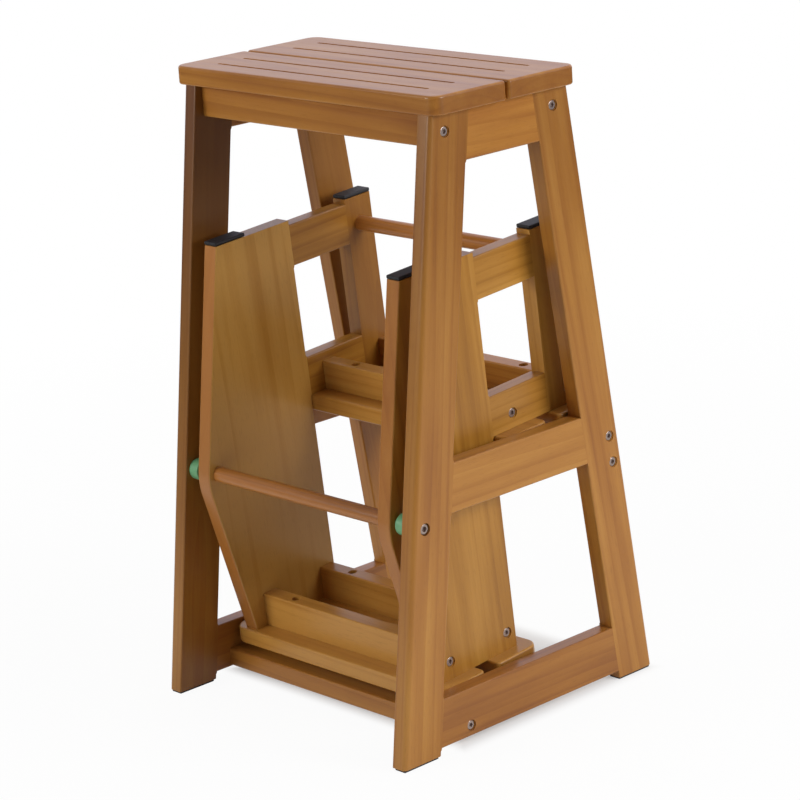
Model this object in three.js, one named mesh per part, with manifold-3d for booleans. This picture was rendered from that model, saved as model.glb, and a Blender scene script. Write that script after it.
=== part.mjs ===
// Folding step stool chair, in millimetres. +Z is up, the front is -Y, and the width runs along X.
// A two-step unit hangs upside down inside the stool and swings out forwards on one pivot.
// It is built here as stored: folded, with the lower step resting on the rear cross rail.

import * as THREE from 'three';
import { mergeVertices } from 'three/addons/utils/BufferGeometryUtils.js';
import Module from 'manifold-3d';

const wasm = await Module();
wasm.setup();

// Stock and fits
const STOCK = 18;
const SEAT_STOCK = 19;
const FIT = 0.3;
const WELD = 1e-4;
const OVERRUN = 2;
const EDGE = 1.5;
const EDGE_STEPS = 2;
const CORNER_STEPS = 5;
const ROUND_STEPS = 20;

// Seat
const HEIGHT = 650;
const SEAT_WIDTH = 378;
const SEAT_OVERHANG = 10.5;
const SEAT_DEPTH = 194;
const SEAT_GAP = 3;
const SEAT_CORNER = 13;
const SEAT_GAP_CORNER = 4;
const GROOVE_INSET = 37;
const GROOVE_COUNT = 2;
const GROOVE_WIDTH = 4;
const GROOVE_DEPTH = 3;
const GROOVE_PITCH = 34;
const GROOVE_LENGTH = SEAT_WIDTH - 2 * GROOVE_INSET;
const SEAT_UNDER = HEIGHT - SEAT_STOCK;

// Side frames
const FRAME_WIDTH = SEAT_WIDTH - 2 * SEAT_OVERHANG;
const FRAME_DEPTH = 360;
const SEAT_LIP = 4;
const FRAME_TOP_DEPTH = SEAT_DEPTH - 2 * SEAT_LIP;
const LEG_WIDTH = 50;
const RAIL_WIDTH = 50;
const BOTTOM_RAIL_RISE = 10;
const MIDDLE_RAIL_OFFSET = 6;
const GLIDE_THICKNESS = 2.5;
const GLIDE_INSET = 2;
const FRAME_INSIDE = FRAME_WIDTH / 2 - STOCK;
const FRAME_CENTRE = FRAME_WIDTH / 2 - STOCK / 2;
const LEAN = (FRAME_DEPTH - FRAME_TOP_DEPTH) / 2 / SEAT_UNDER;
const LEAN_ANGLE = Math.atan(LEAN);

// Cross members of the stool
const APRON_HEIGHT = 33;
const FRONT_APRON_INSET = 17;
const REAR_APRON_INSET = 22;
const FRONT_APRON_CENTRE = FRONT_APRON_INSET - FRAME_TOP_DEPTH / 2;
const REAR_APRON_CENTRE = FRAME_TOP_DEPTH / 2 - REAR_APRON_INSET;
const APRON_SCREW_DROP = 18;
const CROSS_RAIL_HEIGHT = 58;
const CROSS_RAIL_INSET = 4;
const CROSS_RAIL_OFFSET = 13;
const CROSS_RAIL_SCREW_PITCH = 28.5;
const STRETCHER_WIDTH = 44;
const STRETCHER_THICKNESS = 19;
const STRETCHER_INSET = 93.5;
const STRETCHER_CENTRE = STRETCHER_INSET - FRAME_DEPTH / 2;
const STRETCHER_RISE = 11.5;

// Steps and pivot: the pivot is where the folded upper step just clears the stretcher
const TOP_STEP_RISE = 212;
const LOWER_STEP_DROP = 6;
const FOLD_GAP = 5.5;
const FOLD_TILT = 4.5;
const UPPER_STEP = HEIGHT - TOP_STEP_RISE;
const LOWER_STEP = UPPER_STEP / 2 - LOWER_STEP_DROP;
const PIVOT_INSET = 14.8;
const PIVOT_Z = (UPPER_STEP + STRETCHER_RISE + STRETCHER_THICKNESS + FOLD_GAP) / 2;
const PIVOT_Y = PIVOT_INSET + LEAN * PIVOT_Z - FRAME_DEPTH / 2;
const MIDDLE_RAIL_RISE = PIVOT_Z + MIDDLE_RAIL_OFFSET;
const CROSS_RAIL_LEVEL = PIVOT_Z + CROSS_RAIL_OFFSET;
const SPACER_LENGTH = 17.5;
const SPACER_DIAMETER = 22;
const SPACER_HUB_DIAMETER = 13;
const SPACER_HUB_LENGTH = 4;
const BOLT_DIAMETER = 6;
const BOLT_HEAD = 11;
const BOLT_HEAD_DEPTH = 3.5;
const BOLT_MOUTH = 12.5;
const BOLT_SINK = 1.5;
const BOLT_SOCKET = 5;
const BOLT_REACH = 12;
const INSERT_DIAMETER = 10;
const INSERT_LENGTH = 15;

// Two-step unit, in its own frame: s runs from the pivot towards the narrow legs, and h towards the feet
const UNIT_WIDTH = FRAME_WIDTH - 2 * STOCK - 2 * SPACER_LENGTH;
const UNIT_INSIDE = UNIT_WIDTH / 2 - STOCK;
const UNIT_CENTRE = UNIT_WIDTH / 2 - STOCK / 2;
const FOOT_LEVEL = PIVOT_Z;
const PAD_THICKNESS = 4;
const PAD_LENGTH = 40;
const BOARD_END = FOOT_LEVEL - PAD_THICKNESS;
const WIDE_BOARD_EDGE = 137.5;
const WIDE_BOARD_HEEL = 20;
const WIDE_BOARD_NOSE = -15.5;
const WIDE_BOARD_NOSE_LEVEL = -8;
const WIDE_BOARD_TOE = 38;
const WINDOW = 80;
const NARROW_LEG_WIDTH = 37;
const NARROW_LEG_START = WIDE_BOARD_EDGE + WINDOW;
const NARROW_LEG_CENTRE = NARROW_LEG_START + NARROW_LEG_WIDTH / 2;
const FOOT_RAIL_WIDTH = 44;
const FOOT_RAIL_CLEARANCE = 9;
const TREAD_RAIL_WIDTH = 41.5;

// Treads and their cleats
const TREAD_OVERHANG = 15.5;
const TREAD_LENGTH = UNIT_WIDTH + 2 * TREAD_OVERHANG;
const TREAD_BOARD = 61;
const TREAD_GAP = 17;
const TREAD_CORNER = 15;
const TREAD_GAP_CORNER = 7;
const UPPER_TREAD_START = 15;
const LOWER_TREAD_START = WIDE_BOARD_EDGE + 2 * FIT;
const UPPER_CLEAT_HEIGHT = 36;
const LOWER_CLEAT_HEIGHT = 31;
const CLEAT_INSET = 29;
const LOWER_TREAD_UNDER = PIVOT_Z - LOWER_STEP + STOCK;
const UPPER_TREAD_UNDER = PIVOT_Z - UPPER_STEP + STOCK;
const TREAD_DEPTH = 2 * TREAD_BOARD + TREAD_GAP;
const UPPER_TREAD = { start: UPPER_TREAD_START, under: UPPER_TREAD_UNDER, cleat: UPPER_CLEAT_HEIGHT };
const LOWER_TREAD = { start: LOWER_TREAD_START, under: LOWER_TREAD_UNDER, cleat: LOWER_CLEAT_HEIGHT };

// Tenons, dowels and screws
const TENON_THICKNESS = 8;
const TENON_SHARE = 0.6;
const TENON_ROOT = 6;
const FRAME_TENON_LENGTH = 14;
const UNIT_TENON_LENGTH = 9;
const DOWEL_DIAMETER = 16;
const DOWEL_SOCKET = 6;
const FOOT_DOWEL_DROP = 34;
const FOOT_DOWEL_LEVEL = FOOT_LEVEL - FOOT_DOWEL_DROP;
const SCREW_HEAD = 9.5;
const SCREW_MOUTH = 11.5;
const SCREW_SINK = 1.2;
const SCREW_HEAD_DEPTH = 2.8;
const SCREW_SHANK = 4;
const SOCKET_SIDES = 6;
const SCREW_SOCKET = 3.6;
const SCREW_SOCKET_DEPTH = 2;
const SIDE_SCREW_LENGTH = 42;
const SEAT_SCREW_LENGTH = 37;
const SEAT_SCREW_SPACING = 120;
const CLEAT_SCREW_BITE = 11;
const CLEAT_SCREW_PLACE = 83;
const COUNTERBORE_DIAMETER = 10;
const COUNTERBORE_DEPTH = 8;
const CLEAT_COUNTERBORE_DEPTH = 4;

// Finishes
const WOOD = { color: 0xa87440, roughness: 0.38, metalness: 0 };
const DOWEL_WOOD = { color: 0x9a6436, roughness: 0.38, metalness: 0 };
const STEEL = { color: 0xc4c2be, roughness: 0.3, metalness: 1 };
const RUBBER = { color: 0x22242a, roughness: 0.75, metalness: 0 };
const GREEN_PLASTIC = { color: 0x7baa80, roughness: 0.45, metalness: 0 };

const SIDES = [['left', -1], ['right', 1]];

// Welding and cutting

function welded(geometry) {
  const bare = geometry.clone();
  bare.deleteAttribute('normal');
  bare.deleteAttribute('uv');
  const joined = mergeVertices(bare, WELD);
  const index = joined.getIndex().array;
  const kept = [];
  for (let i = 0; i < index.length; i += 3) {
    const [a, b, c] = [index[i], index[i + 1], index[i + 2]];
    if (a !== b && b !== c && c !== a) kept.push(a, b, c);
  }
  joined.setIndex(kept);
  return joined;
}

function toManifold(geometry) {
  const joined = welded(geometry);
  return new wasm.Manifold(new wasm.Mesh({
    numProp: 3,
    vertProperties: new Float32Array(joined.getAttribute('position').array),
    triVerts: new Uint32Array(joined.getIndex().array),
  }));
}

function toGeometry(solid) {
  const mesh = solid.getMesh();
  const geometry = new THREE.BufferGeometry();
  geometry.setAttribute('position', new THREE.BufferAttribute(mesh.vertProperties, 3));
  geometry.setIndex(new THREE.BufferAttribute(mesh.triVerts, 1));
  geometry.computeVertexNormals();
  return geometry;
}

function join(geometry, additions) {
  const solid = toManifold(geometry);
  return toGeometry(additions.reduce((body, addition) => body.add(toManifold(addition)), solid));
}

function cut(geometry, cutters) {
  const solid = toManifold(geometry);
  return toGeometry(cutters.reduce((body, cutter) => body.subtract(toManifold(cutter)), solid));
}

// Boards, bars and round stock

function outline(points) {
  return new THREE.Shape(points.map(([u, v]) => new THREE.Vector2(u, v)));
}

function board(shape, thickness) {
  const geometry = new THREE.ExtrudeGeometry(shape, {
    depth: thickness - 2 * EDGE,
    bevelThickness: EDGE,
    bevelSize: EDGE,
    bevelOffset: -EDGE,
    bevelSegments: EDGE_STEPS,
    curveSegments: CORNER_STEPS,
  });
  return geometry.translate(0, 0, EDGE - thickness / 2);
}

// A board whose outline is drawn in Y and Z, with its thickness or length along X
function upright(points, thickness) {
  const toSide = new THREE.Matrix4().makeBasis(
    new THREE.Vector3(0, 1, 0),
    new THREE.Vector3(0, 0, 1),
    new THREE.Vector3(1, 0, 0),
  );
  return board(outline(points), thickness).applyMatrix4(toSide);
}

function rectangle(y0, y1, z0, z1) {
  return [[y0, z0], [y1, z0], [y1, z1], [y0, z1]];
}

// A seat or tread board lying flat, with its own corner radius at each long side
function plank(length, depth, frontCorner, rearCorner, thickness) {
  const [x, y] = [length / 2, depth / 2];
  const shape = new THREE.Shape();
  shape.moveTo(-x + frontCorner, -y);
  shape.lineTo(x - frontCorner, -y);
  shape.absarc(x - frontCorner, -y + frontCorner, frontCorner, -Math.PI / 2, 0);
  shape.lineTo(x, y - rearCorner);
  shape.absarc(x - rearCorner, y - rearCorner, rearCorner, 0, Math.PI / 2);
  shape.lineTo(-x + rearCorner, y);
  shape.absarc(-x + rearCorner, y - rearCorner, rearCorner, Math.PI / 2, Math.PI);
  shape.lineTo(-x, -y + frontCorner);
  shape.absarc(-x + frontCorner, -y + frontCorner, frontCorner, Math.PI, 1.5 * Math.PI);
  return board(shape, thickness);
}

function rodAlongX(diameter, length) {
  return new THREE.CylinderGeometry(diameter / 2, diameter / 2, length, ROUND_STEPS).rotateZ(Math.PI / 2);
}

function turned(points) {
  return new THREE.LatheGeometry(points.map(([r, y]) => new THREE.Vector2(r, y)), ROUND_STEPS);
}

// Screws: a countersunk head with a hexagon socket, its top at the origin and its axis along Y

function screwOutline(length, clearance) {
  const head = SCREW_HEAD / 2 + clearance;
  const shank = SCREW_SHANK / 2 + clearance;
  return [[0, -length - clearance], [shank, -length - clearance], [shank, -SCREW_HEAD_DEPTH], [head, 0]];
}

function hexagon(width, depth) {
  return new THREE.CylinderGeometry(width / 2, width / 2, depth, SOCKET_SIDES);
}

function screw(length) {
  const body = turned([...screwOutline(length, 0), [0, 0]]);
  return cut(body, [hexagon(SCREW_SOCKET, 2 * SCREW_SOCKET_DEPTH)]);
}

function screwHole(length, bore = SCREW_HEAD, depth = OVERRUN) {
  const hole = screwOutline(length, FIT);
  const top = Math.max(bore / 2, SCREW_HEAD / 2) + FIT;
  return turned([...hole, [top, 0], [top, depth + OVERRUN], [0, depth + OVERRUN]]);
}

function headTowards(geometry, side) {
  return geometry.rotateZ(-side * Math.PI / 2);
}

function headUp(geometry) {
  return geometry.rotateX(Math.PI / 2);
}

function headDown(geometry) {
  return geometry.rotateX(-Math.PI / 2);
}

function mesh(name, geometry, finish) {
  const piece = new THREE.Mesh(geometry, new THREE.MeshStandardMaterial(finish));
  piece.name = name;
  return piece;
}

function place(piece, x, y, z) {
  piece.position.set(x, y, z);
  return piece;
}

// Places on the leaning legs

function legFace(z) {
  return FRAME_DEPTH / 2 - LEAN * z;
}

function legInside(z) {
  return legFace(z) - LEG_WIDTH;
}

const RAILS = [
  ['top', SEAT_UNDER - RAIL_WIDTH],
  ['middle', MIDDLE_RAIL_RISE],
  ['bottom', BOTTOM_RAIL_RISE],
];

// A rail's stub tenon, or its mortise when grown by a clearance; it points along Y from the shoulder
function tenon(shoulder, way, level, width, length, clearance) {
  const reach = TENON_ROOT + length + clearance;
  const height = TENON_SHARE * width + 2 * clearance;
  const block = new THREE.BoxGeometry(TENON_THICKNESS + 2 * clearance, reach, height);
  return block.translate(0, shoulder + way * (reach / 2 - TENON_ROOT), level);
}

function frameTenon(end, underside, clearance) {
  const level = underside + RAIL_WIDTH / 2;
  return tenon(end * legInside(level), end, level, RAIL_WIDTH, FRAME_TENON_LENGTH, clearance);
}

// Places of the screws through the side frames

const APRON_SCREW_LEVEL = SEAT_UNDER - APRON_SCREW_DROP;
function apronCentre(end) {
  return end < 0 ? FRONT_APRON_CENTRE : REAR_APRON_CENTRE;
}

const STRETCHER_LEVEL = STRETCHER_RISE + STRETCHER_THICKNESS / 2;
const CROSS_RAIL_CENTRE = legFace(CROSS_RAIL_LEVEL) - (CROSS_RAIL_INSET + STOCK / 2) / Math.cos(LEAN_ANGLE);

function crossRailPoint(along, across) {
  return [
    CROSS_RAIL_CENTRE - along * Math.sin(LEAN_ANGLE) + across * Math.cos(LEAN_ANGLE),
    CROSS_RAIL_LEVEL + along * Math.cos(LEAN_ANGLE) + across * Math.sin(LEAN_ANGLE),
  ];
}

function crossRailScrews() {
  return [-0.5, 0.5].map((step) => crossRailPoint(step * CROSS_RAIL_SCREW_PITCH, 0));
}

// Side screws sit a little below the face, in a wider mouth
function sideHole(side, y, z, centre = FRAME_CENTRE, width = FRAME_WIDTH) {
  const hole = headTowards(screwHole(SIDE_SCREW_LENGTH, SCREW_MOUTH, SCREW_SINK), side);
  return hole.translate(side * (width / 2 - SCREW_SINK - centre), y, z);
}

// Seat

function seatBoard(end) {
  const depth = (SEAT_DEPTH - SEAT_GAP) / 2;
  const centre = end * (SEAT_GAP / 2 + depth / 2);
  const corners = end < 0 ? [SEAT_CORNER, SEAT_GAP_CORNER] : [SEAT_GAP_CORNER, SEAT_CORNER];
  const plain = plank(SEAT_WIDTH, depth, ...corners, SEAT_STOCK);
  plain.translate(0, centre, SEAT_UNDER + SEAT_STOCK / 2);
  const grooves = Array.from({ length: GROOVE_COUNT }, (_, step) => (
    groove().translate(0, end * (step + 1) * GROOVE_PITCH, HEIGHT)
  ));
  const pilots = seatScrewPlaces(end).map(([x, y, z]) => (
    headDown(screwHole(SEAT_SCREW_LENGTH)).translate(x, y, z)
  ));
  return cut(plain, [...grooves, ...pilots]);
}

function groove() {
  const end = GROOVE_WIDTH / 2;
  const half = GROOVE_LENGTH / 2 - end;
  const shape = new THREE.Shape();
  shape.moveTo(-half, -end);
  shape.lineTo(half, -end);
  shape.absarc(half, 0, end, -Math.PI / 2, Math.PI / 2);
  shape.lineTo(-half, end);
  shape.absarc(-half, 0, end, Math.PI / 2, 1.5 * Math.PI);
  const cutter = new THREE.ExtrudeGeometry(shape, {
    depth: GROOVE_DEPTH + OVERRUN,
    bevelEnabled: false,
    curveSegments: CORNER_STEPS,
  });
  return cutter.translate(0, 0, -GROOVE_DEPTH);
}

function seatScrewPlaces(end) {
  const level = SEAT_UNDER - APRON_HEIGHT + COUNTERBORE_DEPTH;
  return [-1, 0, 1].map((step) => [step * SEAT_SCREW_SPACING, apronCentre(end), level]);
}

// Side frames

function leg(end, side) {
  const [low, high] = [GLIDE_THICKNESS, SEAT_UNDER];
  const points = [
    [end * legFace(low), low],
    [end * legInside(low), low],
    [end * legInside(high), high],
    [end * legFace(high), high],
  ];
  const holes = RAILS.map(([, underside]) => frameTenon(end, underside, FIT));
  holes.push(sideHole(side, apronCentre(end), APRON_SCREW_LEVEL));
  if (end < 0) {
    holes.push(pivotHole(side));
  } else {
    holes.push(...crossRailScrews().map(([y, z]) => sideHole(side, y, z)));
  }
  return cut(upright(points, STOCK), holes);
}

function pivotHole(side) {
  const [shank, head] = [BOLT_DIAMETER / 2 + FIT, BOLT_MOUTH / 2];
  const floor = STOCK / 2 - BOLT_SINK - BOLT_HEAD_DEPTH - FIT;
  const top = STOCK / 2 + OVERRUN;
  const hole = turned([[0, -top], [shank, -top], [shank, floor], [head, floor], [head, top], [0, top]]);
  return headTowards(hole, side).translate(0, PIVOT_Y, PIVOT_Z);
}

function frameRail(underside, side) {
  const topside = underside + RAIL_WIDTH;
  const [low, high] = [legInside(underside) - FIT, legInside(topside) - FIT];
  const points = [[-low, underside], [low, underside], [high, topside], [-high, topside]];
  const rail = join(upright(points, STOCK), [-1, 1].map((end) => frameTenon(end, underside, 0)));
  const holes = underside === BOTTOM_RAIL_RISE ? [sideHole(side, STRETCHER_CENTRE, STRETCHER_LEVEL)] : [];
  return cut(rail, holes);
}

function glide(end) {
  const [outer, inner] = [legFace(GLIDE_THICKNESS) - GLIDE_INSET, legInside(GLIDE_THICKNESS) + GLIDE_INSET];
  const depth = outer - inner;
  const box = new THREE.BoxGeometry(STOCK - 2 * GLIDE_INSET, depth, GLIDE_THICKNESS);
  return box.translate(0, end * (outer + inner) / 2, GLIDE_THICKNESS / 2);
}

// Cross members

function endHoles(places) {
  return places.flatMap(([y, z]) => SIDES.map(([, side]) => sideHole(side, y, z, 0)));
}

function apron(end) {
  const y = apronCentre(end);
  const points = rectangle(y - STOCK / 2, y + STOCK / 2, SEAT_UNDER - APRON_HEIGHT, SEAT_UNDER);
  const seatHoles = seatScrewPlaces(end).map(([x, py, z]) => (
    headDown(screwHole(SEAT_SCREW_LENGTH, COUNTERBORE_DIAMETER, COUNTERBORE_DEPTH)).translate(x, py, z)
  ));
  return cut(upright(points, 2 * FRAME_INSIDE), [...endHoles([[y, APRON_SCREW_LEVEL]]), ...seatHoles]);
}

// The cross rail's top is where the folded unit's lower step lies on it, one fit below the tread
function crossRailTop() {
  const tilt = THREE.MathUtils.degToRad(FOLD_TILT);
  const [nearY, nearZ] = crossRailPoint(0, STOCK / 2);
  const height = (nearZ - PIVOT_Z) * Math.cos(tilt) - (nearY - PIVOT_Y) * Math.sin(tilt);
  return (LOWER_TREAD_UNDER - STOCK - FIT - height) / Math.cos(LEAN_ANGLE - tilt);
}

function crossRail() {
  const top = crossRailTop();
  const bottom = top - CROSS_RAIL_HEIGHT;
  const corners = [[bottom, -1], [bottom, 1], [top, 1], [top, -1]];
  const points = corners.map(([along, face]) => crossRailPoint(along, face * STOCK / 2));
  return cut(upright(points, 2 * FRAME_INSIDE), endHoles(crossRailScrews()));
}

function stretcher() {
  const half = STRETCHER_WIDTH / 2;
  const top = STRETCHER_RISE + STRETCHER_THICKNESS;
  const points = rectangle(STRETCHER_CENTRE - half, STRETCHER_CENTRE + half, STRETCHER_RISE, top);
  return cut(upright(points, 2 * FRAME_INSIDE), endHoles([[STRETCHER_CENTRE, STRETCHER_LEVEL]]));
}

function sideScrew(side) {
  return headTowards(screw(SIDE_SCREW_LENGTH), side);
}

// A flanged bush: the wide end lies against the side frame, the hub against the unit
function spacer(side) {
  const [bore, hub] = [BOLT_DIAMETER / 2 + FIT, SPACER_HUB_DIAMETER / 2];
  const outer = SPACER_DIAMETER / 2;
  const half = SPACER_LENGTH / 2 - FIT;
  const step = SPACER_HUB_LENGTH - half;
  const bush = turned([
    [bore, -half], [hub, -half], [hub, step], [outer, step], [outer, half], [bore, half], [bore, -half],
  ]);
  return headTowards(bush, side);
}

// Two-step unit: side boards

const UNIT_RAILS = {
  foot: [FOOT_LEVEL - FOOT_RAIL_CLEARANCE - FOOT_RAIL_WIDTH, FOOT_LEVEL - FOOT_RAIL_CLEARANCE],
  tread: [LOWER_TREAD_UNDER + FIT, LOWER_TREAD_UNDER + TREAD_RAIL_WIDTH],
};

function unitTenon(edge, way, [low, high], clearance) {
  return tenon(edge, way, (low + high) / 2, high - low, UNIT_TENON_LENGTH, clearance);
}

function unitMortises(edge, way) {
  return Object.values(UNIT_RAILS).map((span) => unitTenon(edge, way, span, FIT));
}

// Each tread's two cleats, as the s of their centres
function cleatCentres({ start }) {
  return [start + CLEAT_INSET, start + TREAD_DEPTH - CLEAT_INSET];
}

function unitHoles(side, tread, keep) {
  const level = tread.under + tread.cleat / 2;
  const places = cleatCentres(tread).filter(keep);
  return places.map((s) => sideHole(side, s, level, UNIT_CENTRE, UNIT_WIDTH));
}

function dowelSocket(side, s, h) {
  const depth = DOWEL_SOCKET + FIT;
  const hole = rodAlongX(DOWEL_DIAMETER + 2 * FIT, depth + OVERRUN);
  return hole.translate(-side * (STOCK / 2 + OVERRUN - (depth + OVERRUN) / 2), s, h);
}

function wideBoard(side) {
  const points = [
    [WIDE_BOARD_HEEL, UPPER_TREAD_UNDER + FIT],
    [WIDE_BOARD_EDGE, UPPER_TREAD_UNDER + FIT],
    [WIDE_BOARD_EDGE, BOARD_END],
    [WIDE_BOARD_TOE, BOARD_END],
    [WIDE_BOARD_NOSE, WIDE_BOARD_NOSE_LEVEL],
  ];
  const holes = [
    ...unitMortises(WIDE_BOARD_EDGE, -1),
    ...unitHoles(side, UPPER_TREAD, () => true),
    dowelSocket(side, 0, 0),
    rodAlongX(BOLT_DIAMETER + 2 * FIT, STOCK + 2 * OVERRUN),
  ];
  return cut(upright(points, STOCK), holes);
}

function narrowLeg(side) {
  const end = NARROW_LEG_START + NARROW_LEG_WIDTH;
  const holes = [
    ...unitMortises(NARROW_LEG_START, 1),
    ...unitHoles(side, LOWER_TREAD, (s) => s > NARROW_LEG_START),
    dowelSocket(side, NARROW_LEG_CENTRE, FOOT_DOWEL_LEVEL),
  ];
  return cut(upright(rectangle(NARROW_LEG_START, end, LOWER_TREAD_UNDER + FIT, BOARD_END), STOCK), holes);
}

function unitRail(span) {
  const points = rectangle(WIDE_BOARD_EDGE + FIT, NARROW_LEG_START - FIT, ...span);
  const tenons = [unitTenon(WIDE_BOARD_EDGE, -1, span, 0), unitTenon(NARROW_LEG_START, 1, span, 0)];
  return join(upright(points, STOCK), tenons);
}

function treadRail(side) {
  const holes = unitHoles(side, LOWER_TREAD, (s) => s < NARROW_LEG_START);
  return cut(unitRail(UNIT_RAILS.tread), holes);
}

function footPad(length) {
  const thickness = PAD_THICKNESS - FIT;
  return new THREE.BoxGeometry(STOCK, length, thickness).translate(0, 0, FOOT_LEVEL - thickness / 2);
}

// Two-step unit: treads

function treadBoard(tread, last) {
  const from = tread.start + last * (TREAD_BOARD + TREAD_GAP);
  const corners = last ? [TREAD_GAP_CORNER, TREAD_CORNER] : [TREAD_CORNER, TREAD_GAP_CORNER];
  const plain = plank(TREAD_LENGTH, TREAD_BOARD, ...corners, STOCK);
  plain.translate(0, from + TREAD_BOARD / 2, tread.under - STOCK / 2);
  return cut(plain, cleatScrewHoles(tread, cleatCentres(tread)[last]));
}

function cleatScrewHoles({ under, cleat: height }, s, ...counterbore) {
  const seat = height - CLEAT_COUNTERBORE_DEPTH;
  const length = seat + CLEAT_SCREW_BITE;
  return SIDES.map(([, side]) => (
    headUp(screwHole(length, ...counterbore)).translate(side * CLEAT_SCREW_PLACE, s, under + seat)
  ));
}

function cleat(tread, s) {
  const { under, cleat: height } = tread;
  const points = rectangle(s - STOCK / 2, s + STOCK / 2, under + FIT, under + height);
  const ends = SIDES.map(([, side]) => sideHole(side, s, under + height / 2, 0, UNIT_WIDTH));
  const screws = cleatScrewHoles(tread, s, COUNTERBORE_DIAMETER, CLEAT_COUNTERBORE_DEPTH);
  return cut(upright(points, 2 * (UNIT_INSIDE - FIT)), [...ends, ...screws]);
}

// Two-step unit: dowels and pivot hardware

function dowel(innerBores) {
  const rod = rodAlongX(DOWEL_DIAMETER, 2 * (UNIT_INSIDE + DOWEL_SOCKET));
  return innerBores ? cut(rod, SIDES.map(([, side]) => insertBore(side))) : rod;
}

function insertBore(side) {
  const length = INSERT_LENGTH + FIT + OVERRUN;
  const bore = rodAlongX(INSERT_DIAMETER + 2 * FIT, length);
  return bore.translate(side * (UNIT_INSIDE + DOWEL_SOCKET + OVERRUN - length / 2), 0, 0);
}

function insert(side) {
  const [bore, outer] = [BOLT_DIAMETER / 2 + FIT, INSERT_DIAMETER / 2];
  const low = -INSERT_LENGTH;
  const sleeve = turned([[bore, low], [outer, low], [outer, 0], [bore, 0], [bore, low]]);
  return headTowards(sleeve, side).translate(side * (UNIT_INSIDE + DOWEL_SOCKET), 0, 0);
}

function pivotBolt(side) {
  const [shank, head] = [BOLT_DIAMETER / 2, BOLT_HEAD / 2];
  const top = FRAME_WIDTH / 2 - BOLT_SINK;
  const length = top - (UNIT_INSIDE + DOWEL_SOCKET) + BOLT_REACH;
  const neck = -BOLT_HEAD_DEPTH;
  const rim = EDGE / 2;
  const stem = [[0, -length], [shank, -length], [shank, neck]];
  const body = turned([...stem, [head, neck], [head, -rim], [head - rim, 0], [0, 0]]);
  const bolt = cut(body, [hexagon(BOLT_SOCKET, BOLT_HEAD_DEPTH + EDGE)]);
  return headTowards(bolt, side).translate(side * top, 0, 0);
}

// Assembly

function stool() {
  const body = new THREE.Group();
  body.add(mesh('seat_board_front', seatBoard(-1), WOOD));
  body.add(mesh('seat_board_rear', seatBoard(1), WOOD));
  for (const [name, side] of SIDES) {
    const x = side * FRAME_CENTRE;
    body.add(place(mesh(`front_leg_${name}`, leg(-1, side), WOOD), x, 0, 0));
    body.add(place(mesh(`rear_leg_${name}`, leg(1, side), WOOD), x, 0, 0));
    for (const [level, underside] of RAILS) {
      body.add(place(mesh(`${level}_rail_${name}`, frameRail(underside, side), WOOD), x, 0, 0));
    }
    body.add(place(mesh(`front_glide_${name}`, glide(-1), RUBBER), x, 0, 0));
    body.add(place(mesh(`rear_glide_${name}`, glide(1), RUBBER), x, 0, 0));
    const gap = side * (UNIT_WIDTH + SPACER_LENGTH) / 2;
    body.add(place(mesh(`pivot_spacer_${name}`, spacer(side), GREEN_PLASTIC), gap, PIVOT_Y, PIVOT_Z));
  }
  body.add(mesh('front_apron', apron(-1), WOOD));
  body.add(mesh('rear_apron', apron(1), WOOD));
  body.add(mesh('rear_cross_rail', crossRail(), WOOD));
  body.add(mesh('front_stretcher', stretcher(), WOOD));
  const [lower, upper] = crossRailScrews();
  const screws = [
    ['front_apron', FRONT_APRON_CENTRE, APRON_SCREW_LEVEL],
    ['rear_apron', REAR_APRON_CENTRE, APRON_SCREW_LEVEL],
    ['cross_rail_lower', ...lower],
    ['cross_rail_upper', ...upper],
    ['stretcher', STRETCHER_CENTRE, STRETCHER_LEVEL],
  ];
  for (const [name, side] of SIDES) {
    const x = side * (FRAME_WIDTH / 2 - SCREW_SINK);
    for (const [fixed, y, z] of screws) {
      body.add(place(mesh(`${fixed}_screw_${name}`, sideScrew(side), STEEL), x, y, z));
    }
  }
  return body;
}

function stepUnit() {
  const unit = new THREE.Group();
  unit.position.set(0, PIVOT_Y, PIVOT_Z);
  unit.rotation.x = THREE.MathUtils.degToRad(FOLD_TILT);
  for (const [name, side] of SIDES) {
    const x = side * UNIT_CENTRE;
    unit.add(place(mesh(`wide_board_${name}`, wideBoard(side), WOOD), x, 0, 0));
    unit.add(place(mesh(`narrow_leg_${name}`, narrowLeg(side), WOOD), x, 0, 0));
    unit.add(place(mesh(`foot_rail_${name}`, unitRail(UNIT_RAILS.foot), WOOD), x, 0, 0));
    unit.add(place(mesh(`tread_rail_${name}`, treadRail(side), WOOD), x, 0, 0));
    const widePad = mesh(`wide_foot_pad_${name}`, footPad(PAD_LENGTH), RUBBER);
    const narrowPad = mesh(`narrow_foot_pad_${name}`, footPad(NARROW_LEG_WIDTH), RUBBER);
    unit.add(place(widePad, x, WIDE_BOARD_TOE + PAD_LENGTH / 2, 0));
    unit.add(place(narrowPad, x, NARROW_LEG_CENTRE, 0));
    unit.add(mesh(`pivot_insert_${name}`, insert(side), STEEL));
    unit.add(mesh(`pivot_bolt_${name}`, pivotBolt(side), STEEL));
  }
  for (const [name, tread] of Object.entries({ upper_step: UPPER_TREAD, lower_step: LOWER_TREAD })) {
    unit.add(mesh(`${name}_board_near`, treadBoard(tread, 0), WOOD));
    unit.add(mesh(`${name}_board_far`, treadBoard(tread, 1), WOOD));
    const [near, far] = cleatCentres(tread);
    unit.add(mesh(`${name}_cleat_near`, cleat(tread, near), WOOD));
    unit.add(mesh(`${name}_cleat_far`, cleat(tread, far), WOOD));
  }
  unit.add(mesh('pivot_dowel', dowel(true), DOWEL_WOOD));
  unit.add(place(mesh('foot_dowel', dowel(false), DOWEL_WOOD), 0, NARROW_LEG_CENTRE, FOOT_DOWEL_LEVEL));
  return unit;
}

const object = new THREE.Group();
object.add(stool());
object.add(stepUnit());

export default object;
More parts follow.
